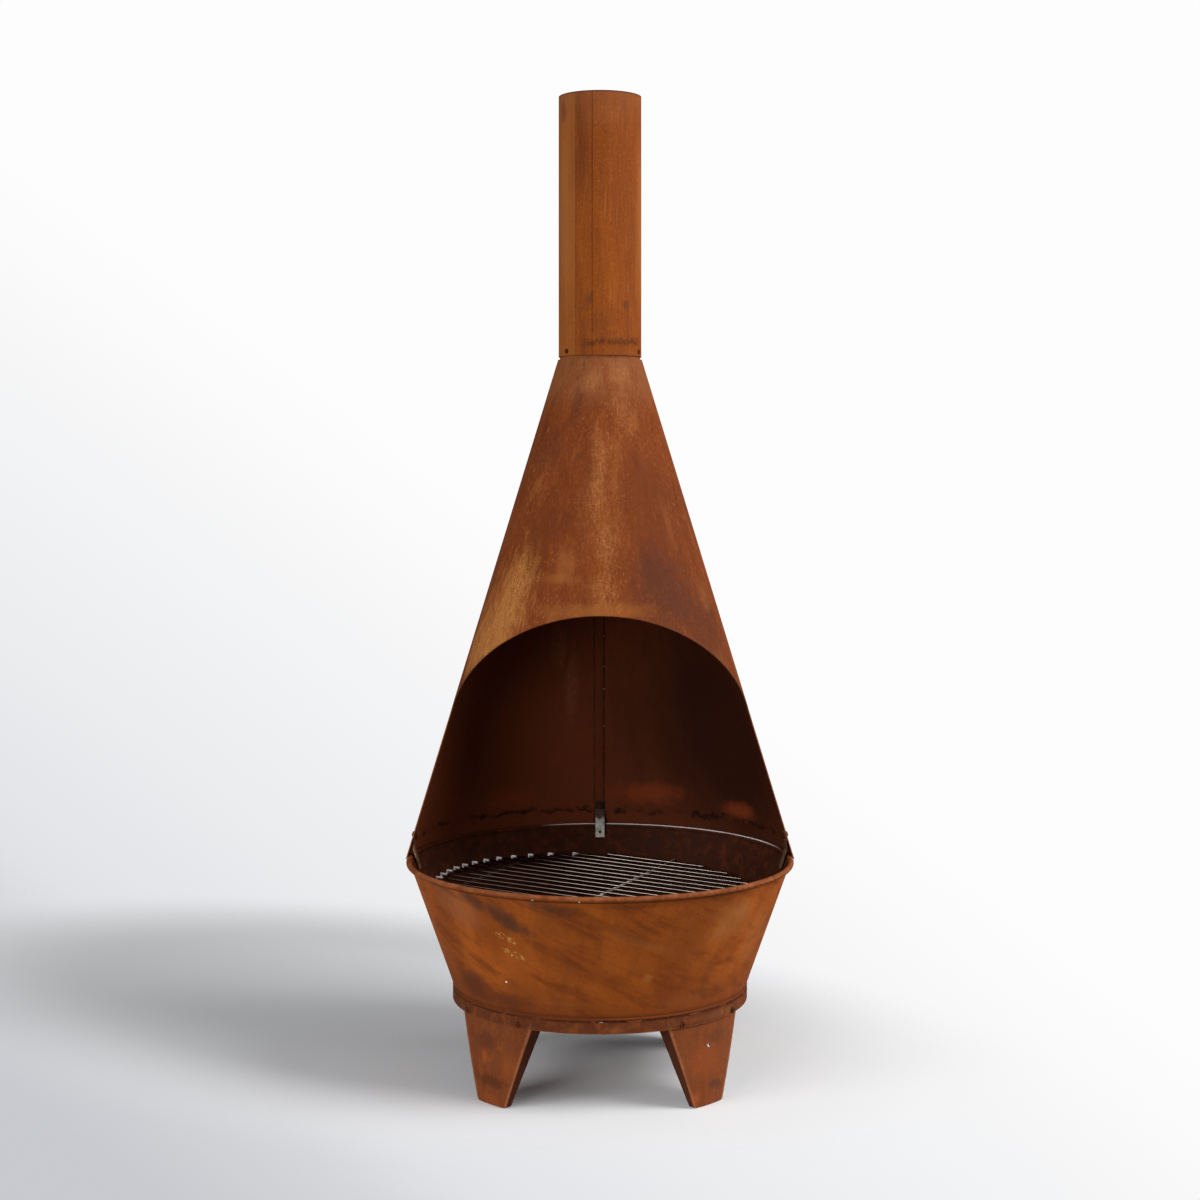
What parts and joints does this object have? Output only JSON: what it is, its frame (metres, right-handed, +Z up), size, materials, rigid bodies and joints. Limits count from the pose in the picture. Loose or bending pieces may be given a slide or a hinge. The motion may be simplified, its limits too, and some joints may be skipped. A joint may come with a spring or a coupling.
{
  "type": "chiminea",
  "caption": "Freestanding steel chiminea: tapered fire bowl on a ring with sheet legs, conical hood with an arched front opening, straight chimney tube and a loose wire grate.",
  "frame": {"origin": "on the floor under the bowl's centre", "axes": "+Z up, -Y towards the front, where the arched opening faces"},
  "size_m": [0.598, 0.5956, 1.5],
  "materials": {
    "bowl_rust": "weathered rust patina",
    "hood_rust": "weathered rust patina",
    "tube_rust": "weathered rust patina",
    "stand_rust": "weathered rust patina",
    "rusty_fasteners": "rusted",
    "tongue_steel": "dull galvanised",
    "grate_steel": "satin wire"
  },
  "bodies": {
    "stand": {"bowl_shell": "bowl_rust", "bowl_floor": "bowl_rust", "base_ring_band": "stand_rust", "ring_tack_welds": "stand_rust", "leg_front_left": "stand_rust", "leg_front_right": "stand_rust", "leg_rear_left": "stand_rust", "leg_rear_right": "stand_rust", "leg_bolts": "rusty_fasteners", "leg_nuts": "rusty_fasteners"},
    "hood": {"hood_cone": "hood_rust", "flue_collar": "hood_rust", "chimney_tube": "tube_rust", "flue_screws": "rusty_fasteners", "hood_tongue_left": "tongue_steel", "hood_tongue_back": "tongue_steel", "hood_tongue_right": "tongue_steel", "tongue_bolts": "rusty_fasteners", "tongue_nuts": "rusty_fasteners"},
    "grate": {"grate_bars": "grate_steel", "grate_cross_wires": "grate_steel"}
  },
  "joints": [
    {"name": "hood_lift", "type": "slide", "parent": "stand", "child": "hood", "axis": [0, 0, 1], "range_m": [0, 0.15]},
    {"name": "grate_lift", "type": "slide", "parent": "stand", "child": "grate", "axis": [0, 0, 1], "range_m": [0, 0.09]}
  ]
}
